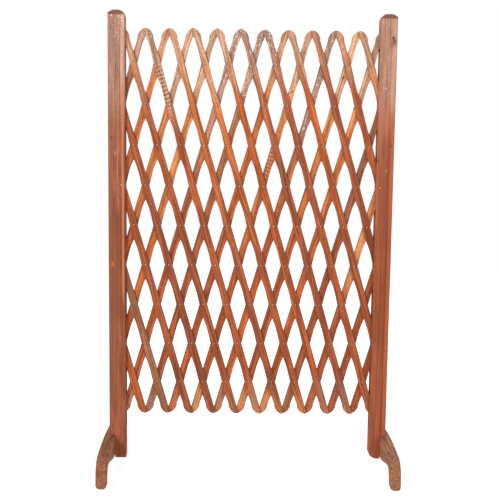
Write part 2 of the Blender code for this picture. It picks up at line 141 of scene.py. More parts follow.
def srgb(red, green, blue):
    """A colour written in 0 to 255 as the linear values that Blender's sockets hold."""
    values = [c / 255 for c in (red, green, blue)]
    return [v / 12.92 if v <= 0.04045 else ((v + 0.055) / 1.055) ** 2.4 for v in values] + [1]


def shade(tone, value, green=1.0):
    """A tone made darker or lighter. A green share under 1 takes it towards red as well."""
    return [c * value * share for c, share in zip(tone, (1, green, green * green))] + [1]


class Nodes:
    """Short calls that add nodes to a tree and link them. Inputs are named, or numbered after a "_"."""

    def __init__(self, tree):
        self.tree = tree

    def node(self, kind, settings=None, **inputs):
        node = self.tree.nodes.new(kind)
        for name, value in (settings or {}).items():
            setattr(node, name, value)
        for name, value in inputs.items():
            self.feed(node, name, value)
        return node

    def feed(self, node, name, value):
        socket = node.inputs[int(name[1:]) if name[0] == "_" else name]
        if isinstance(value, bpy.types.NodeSocket):
            self.tree.links.new(value, socket)
        else:
            socket.default_value = value

    def math(self, operation, a, b=0.0, c=0.0):
        return self.node("ShaderNodeMath", {"operation": operation}, _0=a, _1=b, _2=c).outputs[0]

    def vector(self, operation, a, b=(0, 0, 0), output=0):
        return self.node("ShaderNodeVectorMath", {"operation": operation}, _0=a, _1=b).outputs[output]

    def scaled(self, vector, scale):
        return self.vector("MULTIPLY", vector, scale)

    def axes(self, vector, order):
        """The vector's components, in the order named."""
        parts = self.node("ShaderNodeSeparateXYZ", None, Vector=vector)
        return [parts.outputs[name] for name in order]

    def combined(self, **parts):
        return self.node("ShaderNodeCombineXYZ", None, **parts).outputs[0]

    def step(self, value, low, high, out_low=0.0, out_high=1.0):
        """Goes smoothly from out_low to out_high while value goes from low to high."""
        node = self.node(
            "ShaderNodeMapRange", {"interpolation_type": "SMOOTHSTEP"}, Value=value,
            _1=low, _2=high, _3=out_low, _4=out_high,
        )
        return node.outputs["Result"]

    def uneven(self, value, pattern, amount):
        """The value moved up and down by a pattern that varies round 0.5."""
        return self.math("MULTIPLY_ADD", self.math("SUBTRACT", pattern, 0.5), amount, value)

    def noise(self, vector, detail=2.0, roughness=0.5, output="Fac"):
        node = self.node(
            "ShaderNodeTexNoise", None, Vector=vector, Scale=1.0, Detail=detail, Roughness=roughness
        )
        return node.outputs[output]

    def mix(self, share, a, b, blend="MIX"):
        node = self.node("ShaderNodeMix", {"data_type": "RGBA", "blend_type": blend, "clamp_factor": True})
        for index, value in ((0, share), (6, a), (7, b)):
            self.feed(node, f"_{index}", value)
        return node.outputs[2]

    def attribute(self, name):
        return self.node("ShaderNodeAttribute", {"attribute_name": name}).outputs["Fac"]

    def seen_by(self, *kinds):
        """1 for the kinds of light path named, else 0."""
        path = self.node("ShaderNodeLightPath")
        seen = path.outputs[kinds[0]]
        for kind in kinds[1:]:
            seen = self.math("MAXIMUM", seen, path.outputs[kind])
        return seen


class Shader(Nodes):
    """A material with a Principled shader."""

    def __init__(self, name):
        self.material = bpy.data.materials.new(name)
        self.material.use_nodes = True
        super().__init__(self.material.node_tree)
        self.surface = self.tree.nodes["Principled BSDF"]

    def set(self, **inputs):
        for name, value in inputs.items():
            self.feed(self.surface, name.replace("_", " "), value)


# ---- Wood and steel

PALE = srgb(216, 174, 142)
MAUVE = srgb(190, 152, 136)
FLECK = srgb(240, 230, 218)
POST_VEIL = srgb(190, 146, 123)
# Stain soaked into a slat's long edges, and painted shade along the upper edge
EDGE_STAIN_AND_PAINTED_SHADE = srgb(134, 90, 71)
RIB = srgb(130, 78, 54)
UMBER = srgb(84, 42, 28)
RIVET_STAIN = srgb(128, 62, 38)
END_GRAIN, END_RINGS = srgb(130, 86, 66), srgb(92, 54, 40)
END_GRIT, END_PALE = srgb(96, 62, 50), srgb(176, 138, 118)
DULL = srgb(150, 138, 124)

# Patterns in the wood: how fine they are across and along the grain, their detail and their roughness.
# Those in the first table follow the grain where it runs out of line
GRAIN_PATTERNS = {
    "streak": (210, 5, 3, 0.6),
    "hair": (430, 9, 2, 0.6),
}
PATTERNS = {
    "fibre": (1500, 40, 2, 0.6),
    "patch": (55, 15, 3, 0.6),
    "grit": (420, 200, 2, 0.7),
    "band": (5, 5, 2, 0.5),
    "specks": (290, 150, 2, 0.5),
    "cluster": (60, 24, 1, 0.5),
}
# The figure's layers under and over the growth rings, in grey values round 1: a pattern, between which of
# its values the layer sets in, the layer's share and its grey
BANDS = [("band", 0.44, 0.62, 0.4, 0.84), ("band", 0.50, 0.36, 0.4, 1.16)]
MARKS = [
    ("streak", 0.50, 0.60, 0.85, 0.44), ("streak", 0.48, 0.38, 0.85, 1.52),
    ("hair", 0.51, 0.62, 0.6, 0.42), ("hair", 0.47, 0.36, 0.6, 1.55),
    ("patch", 0.52, 0.66, 0.6, 0.62), ("patch", 0.46, 0.32, 0.5, 1.32),
    ("grit", 0.52, 0.66, 0.4, 0.5), ("grit", 0.46, 0.32, 0.4, 1.5),
]


def wood(name, tone, high_tone=None, ring=0.0052, pith=(0.021, 0.034), contrast=0.3, knots=(), lines=(),
         grain="Z", slat=False, fleck_share=1.0, end_grain=(0.45, 0.68), veil=None, slope=0.0, marked=1.0):
    """Stained softwood whose rings, fibres and stains follow the piece's own axes.

    tone is its colour near the ground and high_tone the one higher up, if that is another. ring is the
    growth rings' width, pith where their middle lies and contrast how dark they are. knots are knots,
    spots and one painted shadow, each (x, z, radius, colour, strength). lines are growth lines and one
    line of painted shade, each (x, width, colour, strength, low, high). grain is the axis that the fibres
    follow. fleck_share is how strong the white flecks are, end_grain between which tilts a face starts to
    count as cut, veil the wood's colour where it is bleached, slope how far the grain may run out of line
    and marked how strong the figure is."""
    s = Shader(name)
    place = s.node("ShaderNodeTexCoord").outputs["Object"]
    if grain == "Y":
        place = s.combined(**dict(zip("XYZ", s.axes(place, "XZY"))))
    x, z = s.axes(place, "XZ")
    chance = s.node("ShaderNodeObjectInfo").outputs["Random"]
    chance_2 = s.math("FRACT", s.math("MULTIPLY", chance, 37.7))
    moved = s.vector("ADD", place, s.combined(
        X=s.math("MULTIPLY_ADD", chance, 0.05, pith[0]),
        Y=s.math("MULTIPLY_ADD", chance_2, 0.03, pith[1]),
        Z=s.math("MULTIPLY", chance, 9.0),
    ))
    wander = s.noise(s.scaled(moved, (9, 9, 5)), detail=3, output="Color")
    wander = s.scaled(s.vector("SUBTRACT", wander, (0.5, 0.5, 0.5)), (0.020, 0.020, 0))
    late = late_wood(s, s.vector("ADD", moved, wander), x, z, ring, knots)

    slant = s.math("MULTIPLY", s.math("MULTIPLY_ADD", chance_2, slope, -slope / 2), z)
    grained = s.vector("ADD", moved, s.scaled(wander, (0.15, 0.15, 0)))
    grained = s.vector("ADD", grained, s.combined(X=slant))
    patterns = {**noises(s, grained, GRAIN_PATTERNS), **noises(s, moved, PATTERNS)}
    patch, streak = patterns["patch"], patterns["streak"]

    weather = s.attribute("weather")
    high_tone = high_tone or tone
    colour = s.mix(s.step(s.attribute("height"), 0.42, 0.78), tone, high_tone)
    colour = s.mix(s.step(weather, 0.0, 0.4), colour, shade(high_tone, 1.08, 1.12))
    broken = s.uneven(s.uneven(weather, patch, 1.2), streak, 0.7)
    bleach = s.math("MULTIPLY", s.step(broken, 0.02, 0.95), s.step(weather, 0.0, 0.12))
    colour = s.mix(s.math("MULTIPLY", bleach, 0.85), colour, veil or PALE)

    figure = layered(s, (1, 1, 1, 1), patterns, BANDS)
    figure = greyed(s, s.math("MULTIPLY", late, 0.8), figure, 1 - contrast)
    figure = layered(s, figure, patterns, MARKS)
    colour = s.mix(marked, colour, figure, "MULTIPLY")
    for line in lines:
        colour = growth_and_shade_line(s, colour, x, z, wander, line)
    colour = ribbed(s, colour, z, patch)
    colour = flecked(s, colour, patterns, weather, fleck_share)
    if slat:
        colour = slat_stains_and_painted_shade(s, colour, x, z, patch)
    for knot in knots:
        colour = knot_and_shadow_mark(s, colour, (s.uneven(x, patch, 0.004), s.uneven(z, patch, 0.004)), knot)
    if grain == "Z":
        colour = cut_ends(s, colour, late, patterns["grit"], bleach, end_grain)

    relief = s.math("MULTIPLY_ADD", late, 0.5, s.math("MULTIPLY", patterns["fibre"], 0.4))
    relief = s.math("MULTIPLY_ADD", patterns["hair"], -0.5, s.math("MULTIPLY_ADD", streak, -0.5, relief))
    bump = s.node("ShaderNodeBump", None, Strength=0.7, Distance=0.0006, Height=relief)
    s.set(
        Base_Color=colour,
        Roughness=s.step(s.math("ADD", streak, s.math("MULTIPLY", bleach, 0.5)), 0.3, 1.1, 0.62, 0.88),
        Normal=bump.outputs[0],
        Specular_IOR_Level=0.18,
    )
    return s.material


def noises(s, place, table):
    return {
        name: s.noise(s.scaled(place, (across, across, along)), detail, roughness)
        for name, (across, along, detail, roughness) in table.items()
    }


def late_wood(s, bent, x, z, ring, knots):
    """The dark side of each growth ring. The rings flow round the knots."""
    for knot_x, knot_z, radius, _, _ in knots:
        bent = s.vector("ADD", bent, knot_pull(s, x, z, knot_x, knot_z, radius))
    distance = s.vector("LENGTH", s.scaled(bent, (1, 1, 0)), output=1)
    rings = s.math("FRACT", s.math("DIVIDE", distance, ring))
    return s.math("MULTIPLY", s.step(rings, 0.25, 0.86), s.step(rings, 0.93, 1.0, 1.0, 0.0))


def knot_distance(s, place, knot_x, knot_z, radius):
    """How far a point is from a knot, in the knot's own radii. Knots are long along the grain."""
    dx = s.math("DIVIDE", s.math("SUBTRACT", place[0], knot_x), radius)
    dz = s.math("DIVIDE", s.math("SUBTRACT", place[1], knot_z), radius * 1.6)
    return s.math("SQRT", s.math("ADD", s.math("MULTIPLY", dx, dx), s.math("MULTIPLY", dz, dz)))


def knot_pull(s, x, z, knot_x, knot_z, radius):
    """Moves the rings aside, so that the grain flows round a knot."""
    away = knot_distance(s, (x, z), knot_x, knot_z, radius)
    side = s.step(s.math("SUBTRACT", x, knot_x), -radius, radius, -1.0, 1.0)
    return s.combined(X=s.math("MULTIPLY", s.step(away, 4.5, 0.8, 0.0, radius * 1.3), side))


def greyed(s, share, figure, value):
    """Takes the figure towards a grey value. Darker wood is redder too."""
    return s.mix(share, figure, shade((1, 1, 1), value, 0.93 if value < 1 else 0.98))


def layered(s, figure, patterns, layers):
    for pattern, low, high, share, value in layers:
        figure = greyed(s, s.step(patterns[pattern], low, high, 0.0, share), figure, value)
    return figure


def growth_and_shade_line(s, colour, x, z, wander, line):
    """A soft line or strip of another colour along the grain, between two heights."""
    at, width, tint, strength, low, high = line
    drift = s.math("MULTIPLY", s.axes(wander, "X")[0], 0.35)
    gap = s.math("ABSOLUTE", s.math("SUBTRACT", s.math("ADD", x, drift), at))
    share = s.step(gap, width, width * 0.35, 0.0, strength)
    share = s.math("MULTIPLY", share, s.step(z, low - 0.03, low + 0.03))
    share = s.math("MULTIPLY", share, s.step(z, high + 0.03, high - 0.03))
    return s.mix(share, colour, tint)


def ribbed(s, colour, z, patch):
    """Dark ribs across the grain, where the ribs attribute is set."""
    waves = s.math("SINE", s.math("MULTIPLY_ADD", patch, 9.0, s.math("MULTIPLY", z, 620.0)))
    share = s.math("MULTIPLY", s.step(waves, 0.0, 0.9), s.attribute("ribs"))
    return s.mix(s.math("MULTIPLY", share, 0.8), colour, RIB)


def flecked(s, colour, patterns, weather, fleck_share):
    """White flecks in clusters, where the wood is bleached."""
    specks = s.step(patterns["specks"], 0.58, 0.64)
    share = s.math("MULTIPLY", specks, s.step(patterns["cluster"], 0.42, 0.56))
    share = s.math("MULTIPLY", share, s.step(weather, 0.2, 0.75, 0.0, fleck_share))
    return s.mix(share, colour, FLECK)


def slat_stains_and_painted_shade(s, colour, x, z, patch):
    """A slat's long edges, with stain soaked into both and painted shade darkening the upper one, and the
    stains round its rivets.
    """
    across = s.uneven(s.attribute("upper"), patch, 0.35)
    # The upper edge is darkened more than the lower: painted shade over the stain that soaks into both.
    upper, lower = s.step(across, 0.45, 1.0, 0.0, 0.65), s.step(across, -0.6, -1.0, 0.0, 0.3)
    colour = s.mix(s.math("MAXIMUM", upper, lower), colour, EDGE_STAIN_AND_PAINTED_SHADE)
    up = s.math("PINGPONG", z, PITCH / 2)
    away = s.math("SQRT", s.math("ADD", s.math("MULTIPLY", x, x), s.math("MULTIPLY", up, up)))
    return s.mix(s.step(s.uneven(away, patch, 0.008), 0.0085, 0.0022, 0.0, 0.3), colour, RIVET_STAIN)


def knot_and_shadow_mark(s, colour, place, knot):
    knot_x, knot_z, radius, tint, strength = knot
    away = knot_distance(s, place, knot_x, knot_z, radius)
    colour = s.mix(s.step(away, 2.2, 0.8, 0.0, strength * 0.4), colour, tint)
    return s.mix(s.step(away, 1.1, 0.6, 0.0, strength), colour, tint)


def cut_ends(s, colour, late, grit, bleach, end_grain):
    """Darker end grain on the faces that are cut across the fibres."""
    cut = s.mix(s.math("MULTIPLY", late, 0.6), END_GRAIN, END_RINGS)
    cut = s.mix(s.step(grit, 0.50, 0.66, 0.0, 0.5), cut, END_GRIT)
    cut = s.mix(s.math("MULTIPLY", bleach, 0.15), cut, END_PALE)
    facing = s.vector("ABSOLUTE", s.node("ShaderNodeTexCoord").outputs["Normal"])
    return s.mix(s.step(s.axes(facing, "Z")[0], *end_grain, 0.0, 0.9), colour, cut)


def steel(name, colour, roughness):
    """Zinc-plated steel with fine scratches and a little dulling."""
    s = Shader(name)
    place = s.node("ShaderNodeTexCoord").outputs["Object"]
    cloud = s.noise(s.scaled(place, (900, 900, 900)), detail=3)
    scratch = s.noise(s.scaled(place, (5200, 700, 5200)), detail=2)
    bump = s.node("ShaderNodeBump", None, Strength=0.25, Distance=0.0001, Height=scratch)
    s.set(
        Base_Color=s.mix(s.step(cloud, 0.45, 0.75, 0.0, 0.5), colour, DULL),
        Roughness=s.step(cloud, 0.3, 0.8, roughness, roughness + 0.25),
        Normal=bump.outputs[0],
        Metallic=1.0,
    )
    return s.material


# ---- Mesh tools

def arc(center, radius, start, end, steps):
    points = []
    for step in range(steps + 1):
        angle = math.radians(start + (end - start) * step / steps)
        points.append((center[0] + radius * math.cos(angle), center[1] + radius * math.sin(angle)))
    return points


def to_mesh(shape, name):
    mesh = bpy.data.meshes.new(name)
    shape.to_mesh(mesh)
    shape.free()
    return mesh


def board(points, thickness, transform):
    """A board cut to a closed outline, as a mesh."""
    shape = bmesh.new()
    front = [shape.verts.new((x, z, thickness / 2)) for x, z in points]
    back = [shape.verts.new((x, z, -thickness / 2)) for x, z in points]
    shape.faces.new(front)
    shape.faces.new(reversed(back))
    for n in range(len(points)):
        after = (n + 1) % len(points)
        shape.faces.new((front[n], back[n], back[after], front[after]))
    bmesh.ops.transform(shape, matrix=transform, verts=shape.verts)
    bmesh.ops.recalc_face_normals(shape, faces=shape.faces)
    return to_mesh(shape, "board")


def lathe(profile, steps, places, name):
    """One mesh with a turned piece at each place. The profile's (radius, height) run from top to bottom."""
    shape = bmesh.new()
    for place in places:
        loops = []
        for radius, height in profile:
            count = 1 if radius == 0 else steps
            angles = [2 * math.pi * n / steps for n in range(count)]
            loops.append([
                shape.verts.new(place @ Vector((radius * math.cos(a), radius * math.sin(a), height)))
                for a in angles
            ])
        for upper, lower in zip(loops, loops[1:]):
            for n in range(steps):
                m = (n + 1) % steps
                corners = [
                    upper[n % len(upper)], upper[m % len(upper)],
                    lower[m % len(lower)], lower[n % len(lower)],
                ]
                shape.faces.new(list(dict.fromkeys(corners)))
    bmesh.ops.recalc_face_normals(shape, faces=shape.faces)
    mesh = to_mesh(shape, name)
    mesh.shade_smooth()
    mesh.set_sharp_from_angle(angle=math.radians(40))
    return mesh


def box_mesh(low, high):
    size = [b - a for a, b in zip(low, high)]
    middle = [(a + b) / 2 for a, b in zip(low, high)]
    shape = bmesh.new()
    bmesh.ops.create_cube(shape, size=1, matrix=Matrix.Translation(middle) @ Matrix.Diagonal((*size, 1)))
    return to_mesh(shape, "box")


def new_object(name, data, place):
    obj = bpy.data.objects.new(name, data)
    bpy.context.scene.collection.objects.link(obj)
    obj.matrix_world = place
    return obj


def bevel(obj, width, segments, angle=50, limit="ANGLE"):
    modifier = obj.modifiers.new("ease", "BEVEL")
    modifier.width, modifier.segments = width, segments
    modifier.limit_method = limit
    modifier.angle_limit = math.radians(angle)


def boolean(obj, operation, cutter_mesh):
    cutter = new_object(f"{obj.name}_cutter_{len(obj.modifiers)}", cutter_mesh, obj.matrix_world)
    modifier = obj.modifiers.new("cut", "BOOLEAN")
    modifier.operation, modifier.solver, modifier.object = operation, "EXACT", cutter
    return cutter


def settled(obj, cutters=()):
    """Applies the modifiers with normals that keep flat faces flat, and removes the cutters."""
    obj.data.shade_smooth()
    weighted = obj.modifiers.new("normals", "WEIGHTED_NORMAL")
    weighted.keep_sharp = True
    weighted.weight = 90
    bpy.context.view_layer.update()
    graph = bpy.context.evaluated_depsgraph_get()
    mesh = bpy.data.meshes.new_from_object(obj.evaluated_get(graph), depsgraph=graph)
    obj.modifiers.clear()
    obj.data = mesh
    for cutter in cutters:
        bpy.data.objects.remove(cutter)


def store(mesh, name, values):
    mesh.attributes.new(name, "FLOAT", "POINT").data.foreach_set("value", values)


def smooth(value, low, high):
    share = min(max((value - low) / (high - low), 0), 1)
    return share * share * (3 - 2 * share)


def heights_of(obj):
    return [(obj.matrix_world @ vertex.co).z for vertex in obj.data.vertices]


def weathered(obj, amount, low=0.70, high=1.12, foot=0.0):
    """Stores each vertex's height and how bleached it is: most at the top, and by foot near the ground."""
    heights = heights_of(obj)
    store(obj.data, "height", [min(max(height / TOTAL_HEIGHT, 0), 1) for height in heights])
    weather = [smooth(height, low, high) + foot * smooth(height, *SPLASH) for height in heights]
    store(obj.data, "weather", [amount * share for share in weather])


def dressed(obj, material, slot, body, *nodes):
    """Gives a finished piece its material and hands it to the frame."""
    obj.data.materials.clear()
    obj.data.materials.append(material)
    if nodes:
        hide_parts(*nodes)
    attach(obj, body)


# ---- Slats

TONES = {
    "deep": srgb(155, 80, 49),
    "dark": srgb(168, 88, 53),
    "brown": srgb(179, 91, 51),
    "orange": srgb(196, 100, 51),
    "tan": srgb(202, 112, 60),
    "light": srgb(218, 130, 70),
    "pale": srgb(228, 146, 86),
    "pink": srgb(188, 115, 78),
    "grey": srgb(162, 104, 73),
    "rose": srgb(178, 98, 64),
}
# Tones that bleach to mauve. The others bleach to a yellower pale and have fewer flecks
MAUVE_TONES = ("pink", "grey", "rose")
# Each slat's tone near the ground and higher up, how bleached it is, and between which heights that sets in
FRONT_LOOKS = [
    ("orange", "orange", 0.2, 0.8, 1.1), ("grey", "grey", 0.2, 0.8, 1.1),
    ("dark", "orange", 0.25, 0.8, 1.1), ("deep", "dark", 0.3, 0.8, 1.1),
    ("dark", "brown", 0.6, 0.86, 1.1), ("brown", "brown", 0.95, 0.84, 1.06),
    ("dark", "tan", 0.6, 0.92, 1.12), ("brown", "tan", 0.7, 0.84, 1.1),
    ("brown", "orange", 0.8, 0.92, 1.10), ("dark", "rose", 0.75, 0.94, 1.12),
    ("brown", "rose", 0.6, 0.92, 1.12), ("dark", "orange", 0.8, 0.98, 1.12),
    ("deep", "dark", 0.4, 0.94, 1.12), ("dark", "brown", 0.6, 0.94, 1.12),
    ("brown", "tan", 0.6, 0.84, 1.1),
]
BACK_LOOKS = [
    ("brown", "pink", 0.8, 1.0, 1.12), ("dark", "tan", 0.7, 0.98, 1.12),
    # Painted light: the next two, back slats 03 and 04 by the left post, have lighter tones near the ground
    # to offset the post's shadow
    ("orange", "light", 0.9, 0.84, 1.08), ("orange", "pale", 0.9, 0.90, 1.08),
    ("brown", "pink", 0.9, 0.74, 1.08), ("dark", "grey", 0.9, 0.86, 1.08),
    ("brown", "tan", 0.6, 0.9, 1.1), ("brown", "pale", 0.9, 0.88, 1.08),
    ("orange", "pink", 1.0, 0.78, 1.02), ("brown", "light", 0.9, 0.84, 1.08),
    ("orange", "light", 0.8, 0.84, 1.08), ("dark", "grey", 0.6, 0.8, 1.1),
    ("brown", "light", 0.34, 0.34, 0.60), ("dark", "brown", 0.4, 0.8, 1.1),
    ("brown", "brown", 0.3, 0.8, 1.1),
]
# Between which heights a slat's figure is ribbed across the grain, and how far that takes to fade
RIBBED = {"front_slat_06": (0.95, 1.06), "back_slat_08": (0.76, 0.87)}
RIB_FADE = 0.02
# Knots and stains on single slats, measured from the slat's own hinge
SLAT_KNOTS = {
    "back_slat_10": ((-0.0005, 0.2940, 0.0030, srgb(150, 52, 34), 0.85),),
    "back_slat_08": ((0.0010, 0.0380, 0.0018, UMBER, 0.7), (0.0010, 0.1420, 0.0018, UMBER, 0.7)),
}
# How far a slat's square corner stands proud of a true cut, where that shows
PROUD = {"front_slat_08": 0.0035, "front_slat_09": 0.003, "back_slat_05": 0.004, "back_slat_03": 0.002}

slat_materials = {}


def free_end(outer, name):
    """An end sawn across with one corner rounded off, the cut seldom quite square."""
    half = SLAT_WIDTH / 2
    start = (half - ROUND_WIDTH, FREE_END - ROUND_LENGTH)
    points = [
        (start[0] + ROUND_WIDTH * x, start[1] + ROUND_LENGTH * z) for x, z in arc((0, 0), 1, 0, 90, 12)
    ]
    points.append((-half, FREE_END))
    proud = PROUD.get(name, draw.uniform(*OFF_SQUARE))
    points = [(x, z + proud * (0.5 - x / SLAT_WIDTH) ** 2) for x, z in points]
    return points if outer > 0 else [(-x, z) for x, z in reversed(points)]


def hump(share, power):
    """Rises from 0 to 1 and falls back while share goes from 0 to 1."""
    return math.sin(math.pi * min(max(share, 0), 1)) ** power


def hollow(z, height, lower):
    """How far a long edge lies inside the slat's straight outline: hollow under each crossing, full at it.

    z is measured along the slat from a rivet and height from the ground."""
    above = z % PITCH
    if not lower:
        return (smooth(height, *UPPER_HEIGHTS) * UPPER_HOLLOW - UPPER_FULL) * hump(above / PITCH, 2)
    high = smooth(height, *LOWER_HEIGHTS)
    waist = hump((above - WAIST_START) / WAIST_LENGTH, 1.5)
    shoulder = hump((above - SHOULDER_START) / SHOULDER_LENGTH, 2)
    return (WAIST_DEPTH + WAIST_EXTRA * high) * waist - (SHOULDER_HEIGHT + SHOULDER_EXTRA * high) * shoulder


def sawn_edge(start, end, side, lower_side, lift):
    """A long edge from start to end, a little uneven, with its hollows between the rivets."""
    count = max(2, round(abs(end - start) / SAWN_STEP))
    points = []
    for n in range(1, count):
        z = start + (end - start) * n / count
        height = lift + z * math.cos(REST)
        inward = SAWN_DEPTH * draw.uniform(0, 1) + hollow(z, height, side == lower_side)
        points.append((side * (SLAT_WIDTH / 2 - inward), z))
    return points


def slat_outline(name, lift, top, bottom, top_free, bottom_free, outer):
    """A slat's closed outline about its own hinge: free ends are sawn, housed ones half round.

    lift is the hinge's height from the ground and outer the side, 1 or -1, where the top end is rounded."""
    housed = arc((0, 0), SLAT_WIDTH / 2, 0, 180, 16)
    upper = [(x, top + z) for x, z in (free_end(outer, name) if top_free else housed)]
    lower = [(-x, bottom - z) for x, z in (free_end(outer, "") if bottom_free else housed)]
    left = sawn_edge(upper[-1][1], lower[0][1], -1, -outer, lift)
    right = sawn_edge(lower[-1][1], upper[0][1], 1, -outer, lift)
    return upper + left + lower + right


def dome(radius, height, face, steps=4):
    """Profile of a rivet head on a face, from its crown down to its rim."""
    points = []
    for n in range(steps + 1):
        angle = math.radians(90 - 80 * n / steps)
        points.append((radius * math.cos(angle) if n else 0, face + height * math.sin(angle)))
    points.append((radius, face - HEAD_SINK))
    return points


def rivet_profile(front_face, back_face):
    head = dome(HEAD_RADIUS, HEAD_HEIGHT, front_face)
    tail = dome(HEAD_RADIUS * 0.9, HEAD_HEIGHT * 0.9, back_face)
    return [*head, (PIN_RADIUS, front_face - HEAD_SINK), (PIN_RADIUS, -back_face + HEAD_SINK)] + [
        (r, -z) for r, z in reversed(tail)
    ]


RIVET = rivet_profile(HALF_STACK, HALF_STACK + TAIL_ROOM)
RIVET_STEEL = steel("rivet_steel", srgb(206, 164, 128), 0.45)
SCREW_STEEL = steel("screw_steel", srgb(196, 186, 164), 0.34)


def swollen(mesh, place, layer):
    """Widens or narrows a slat with its height and keeps it clear of its neighbours."""
    for vertex in mesh.vertices:
        above = -layer * vertex.co.x * (1 + SLAT_SWELL * (SWELL_MIDDLE - (place @ vertex.co).z))
        vertex.co.x = -layer * max(-LOWER_LIMIT, min(UPPER_LIMIT, above))


def split_faces(obj):
    """Splits the large faces into compact triangles, so that the bleaching varies smoothly along them."""
    shape = bmesh.new()
    shape.from_mesh(obj.data)
    large = [face for face in shape.faces if len(face.verts) > 4]
    bmesh.ops.triangulate(shape, faces=large, ngon_method="BEAUTY")
    shape.to_mesh(obj.data)
    shape.free()


def ribs(piece, name):
    """How strongly a slat's figure is ribbed across the grain at each vertex."""
    if name not in RIBBED:
        return [0.0] * len(piece.data.vertices)
    low, high = RIBBED[name]
    return [
        smooth(z, low - RIB_FADE, low + RIB_FADE) * smooth(z, high + RIB_FADE, high - RIB_FADE)
        for z in heights_of(piece)
    ]


def slat_wood(slat, low, high):
    """The wood of a slat: one material for each pair of tones, and one for each slat with knots."""
    knots = SLAT_KNOTS.get(slat, ())
    name = f"slat_wood_{slat if knots else low + '_' + high}"
    if name not in slat_materials:
        mauve = high in MAUVE_TONES
        slat_materials[name] = wood(
            name, TONES[low], TONES[high], slat=True, slope=0.13, veil=MAUVE if mauve else PALE, knots=knots,
            fleck_share=1.0 if mauve else 0.4,
        )
    return slat_materials[name]


def add_slat(name, layer, first, last, column_of, look):
    """A slat's board and, on a front slat, the rivets that it carries.

    layer is -1 in front and 1 behind. first and last are its rows, and column_of tells a row's column."""
    joint = next(j for j in frame["joints"] if j["child"] == name)
    x, _, z = joint["pos_m"]
    pivot = round(PIVOT_ROW + (PIVOT_HEIGHT - z) / ROW_STEP)
    place = Matrix.Translation((x, 0, z)) @ Matrix.Rotation(REST * layer, 4, "Y")
    heights = {row: (pivot - row) * PITCH for row in range(first, last + 1)}
    on_posts = (0, COLUMNS)
    outline = slat_outline(
        name, z, heights[first], heights[last],
        column_of(first) not in on_posts, column_of(last) not in on_posts, -layer,
    )
    middle = layer * (SLAT_THICKNESS + CLEARANCE) / 2
    mesh = board(outline, SLAT_THICKNESS, Matrix.Translation((0, middle, 0)) @ STANDING)
    swollen(mesh, place, layer)
    piece = new_object(f"{name}_board", mesh, place)
    bevel(piece, EDGE_ROUND, 3)
    settled(piece)
    split_faces(piece)
    *tones, bleaching, low, high = look
    weathered(piece, bleaching, low, high, 0.4)
    store(piece.data, "upper", [v.co.x * -layer / (SLAT_WIDTH / 2) for v in piece.data.vertices])
    store(piece.data, "ribs", ribs(piece, name))
    slot = next(s["material_slot"] for s in frame["record"]["subparts"] if s["node"] == name)
    dressed(piece, slat_wood(name, *tones), slot, name, name)
    if layer < 0:
        pinned = [row for row in heights if row == PIVOT_ROW and column_of(row) in on_posts]
        places = [
            Matrix.Translation((0, 0, height)) @ STANDING @ Matrix.Rotation(draw.uniform(0, 6), 4, "Z")
            for row, height in heights.items() if row not in pinned
        ]
        rivets = new_object(f"{name}_rivets", lathe(RIVET, 16, places, f"{name}_rivets"), place)
        dressed(rivets, RIVET_STEEL, "steel", name)


def add_lattice():
    for number, look in enumerate(FRONT_LOOKS, 1):
        start = 1 - ROWS + 2 * (number - 1)
        first, last = max(1, -start), min(ROWS, COLUMNS - start)
        add_slat(f"front_slat_{number:02d}", -1, first, last, lambda row: start + row, look)
    for number, look in enumerate(BACK_LOOKS, 1):
        end = 2 * number
        first, last = max(1, end - COLUMNS), min(ROWS, end)
        add_slat(f"back_slat_{number:02d}", 1, first, last, lambda row: end - row, look)


# ---- Posts and feet

def post_outline(side, heel):
    bottom, top = -PIVOT_ON_POST, POST_LENGTH - PIVOT_ON_POST
    wide, high = heel
    turn = arc((0, 0), 1, 180, 270, 10)
    points = [
        *((POST_INNER + wide * (1 + x), bottom + high * (1 + z)) for x, z in turn),
        (POST_OUTER, bottom),
        (POST_OUTER, top - CAP_SLOPE_HEIGHT),
        (POST_OUTER - CAP_SLOPE_WIDTH, top),
        *arc((POST_INNER + CAP_RADIUS, top - CAP_RADIUS), CAP_RADIUS, 90, 180, 12),
    ]
    return [(side * x, z) for x, z in points]


def cap_outline():
    """A post's outline from the side, with its top chamfered to the front and to the back."""
    wide = POST_DEPTH / 2 + OVERRUN
    low = -PIVOT_ON_POST - OVERRUN
    top = POST_LENGTH - PIVOT_ON_POST
    lean = CAP_HEIGHT / CAP_DEPTH
    shoulder = top - CAP_HEIGHT - OVERRUN * lean
    ridge = (POST_DEPTH / 2 - CAP_DEPTH) / 2
    crest = top + ridge * lean
    return [(-wide, low), (wide, low), (wide, shoulder), (ridge, crest), (-ridge, crest), (-wide, shoulder)]


def span(x_ends, y_half, z_ends):
    return box_mesh((min(x_ends), -y_half, min(z_ends)), (max(x_ends), y_half, max(z_ends)))


